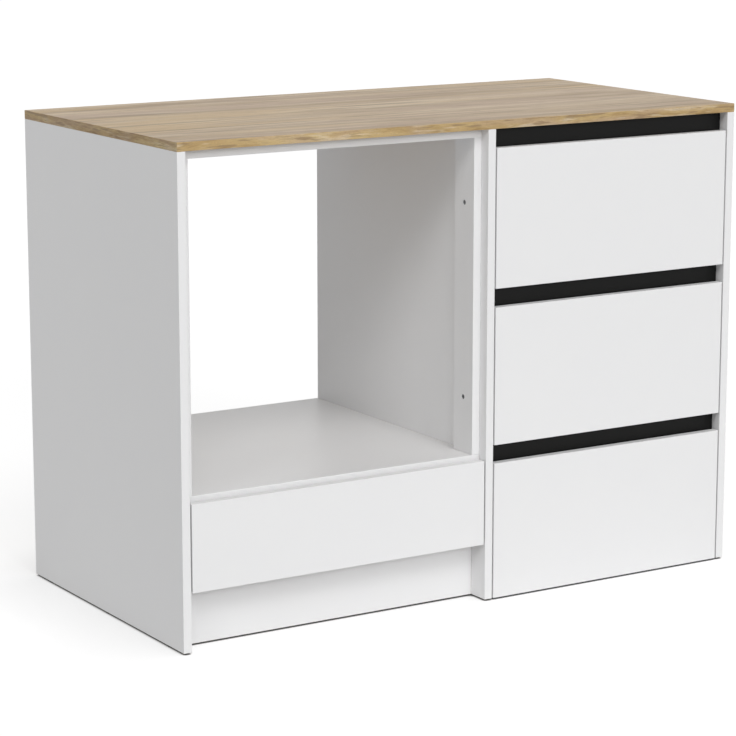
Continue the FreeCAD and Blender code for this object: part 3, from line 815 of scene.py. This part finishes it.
def makeWorld():
    world = bpy.data.worlds.new("paleStudio")
    bpy.context.scene.world = world
    world.use_nodes = True
    tree = world.node_tree
    tree.nodes.clear()
    ambient = addNode(tree, "ShaderNodeBackground", None,
                      {"Color": (1, 1, 1, 1), "Strength": studio["ambient"]})
    backdrop = addNode(tree, "ShaderNodeBackground", None, {"Color": (1, 1, 1, 1), "Strength": 1.0})
    mixed = addNode(tree, "ShaderNodeMixShader", None,
                    {0: seenMask(tree), 1: ambient.outputs[0], 2: backdrop.outputs[0]})
    addNode(tree, "ShaderNodeOutputWorld", None, {"Surface": mixed.outputs[0]})


def openness(tree, reach, span, darkest, aim=None):
    # how open the floor is within reach, drawn as a factor from darkest to 1, with which shade is painted on
    # the floor
    inputs = {"Distance": reach}
    if aim:
        inputs["Normal"] = addNode(tree, "ShaderNodeCombineXYZ", None, dict(zip("XYZ", aim))).outputs[0]
    near = addNode(tree, "ShaderNodeAmbientOcclusion", {"samples": 16}, inputs)
    return addNode(tree, "ShaderNodeMapRange", None,
                   {"Value": near.outputs["AO"], "From Min": span[0], "From Max": span[1],
                    "To Min": darkest}).outputs[0]


def makeFloor():
    # white paper floor that keeps the soft shadow, with a painted contact shadow as a dark line under the
    # boards
    mesh = bpy.data.meshes.new("studioFloor")
    half = studio["floorHalf"]
    corners = [(-half, -half, 0), (half, -half, 0), (half, half, 0), (-half, half, 0)]
    mesh.from_pydata(corners, [], [(0, 1, 2, 3)])
    floor = bpy.data.objects.new("studioFloor", mesh)
    bpy.context.scene.collection.objects.link(floor)
    material = bpy.data.materials.new("palePaperFloor")
    material.use_nodes = True
    tree = material.node_tree
    tree.nodes.clear()
    bounce = studio["floorBounce"]
    contactShadow = openness(tree, studio["contactShadowReach"], studio["contactShadowRange"], studio["contactShadowTone"])
    unshaded = openness(tree, studio["shadeReach"], studio["shadeRange"], 1 - studio["shade"],
                        studio["shadeAim"])
    # the painted contact shadow and the painted shade on the side away from shadeAim darken the floor's glow
    glow = addNode(tree, "ShaderNodeMath", {"operation": "MULTIPLY"}, {0: contactShadow, 1: unshaded}).outputs[0]
    glow = addNode(tree, "ShaderNodeMath", {"operation": "MULTIPLY"},
                   {0: glow, 1: studio["floorGlow"]}).outputs[0]
    tone = addNode(tree, "ShaderNodeMath", {"operation": "MULTIPLY"},
                   {0: contactShadow, 1: studio["floorShadow"]}).outputs[0]
    paper = addNode(tree, "ShaderNodeBsdfDiffuse", None, {"Color": (bounce, bounce, bounce, 1)})
    seen = addNode(tree, "ShaderNodeBsdfDiffuse", None, {"Color": tone})
    light = addNode(tree, "ShaderNodeEmission", None, {"Color": (1, 1, 1, 1), "Strength": glow})
    bright = addNode(tree, "ShaderNodeAddShader", None, {0: seen.outputs[0], 1: light.outputs[0]})
    mixed = addNode(tree, "ShaderNodeMixShader", None,
                    {0: seenMask(tree), 1: paper.outputs[0], 2: bright.outputs[0]})
    addNode(tree, "ShaderNodeOutputMaterial", None, {"Surface": mixed.outputs[0]})
    mesh.materials.append(material)


def makeLamps():
    for azimuth, elevation, strength, size in studio["lamps"]:
        lamp = bpy.data.lights.new("softLamp", "SUN")
        lamp.energy = strength
        lamp.angle = math.radians(size)
        turn, rise = math.radians(azimuth), math.radians(elevation)
        toLamp = Vector((math.sin(turn) * math.cos(rise), -math.cos(turn) * math.cos(rise), math.sin(rise)))
        holder = bpy.data.objects.new("softLamp", lamp)
        holder.rotation_mode = "QUATERNION"
        holder.rotation_quaternion = toLamp.to_track_quat("Z", "Y")
        bpy.context.scene.collection.objects.link(holder)


def makeCamera():
    data = bpy.data.cameras.new("studioCamera")
    data.sensor_width = 36.0
    data.lens = studio["lens"]
    data.clip_end = 300.0
    camera = bpy.data.objects.new("studioCamera", data)
    camera.location = studio["cameraPlace"]
    camera.rotation_euler = (math.radians(90 - studio["cameraDown"]), 0, math.radians(-studio["cameraTurn"]))
    bpy.context.scene.collection.objects.link(camera)
    bpy.context.scene.camera = camera


makeWorld()
makeFloor()
makeLamps()
makeCamera()
bpy.context.scene.view_settings.view_transform = "Standard"
print("Studio ready")
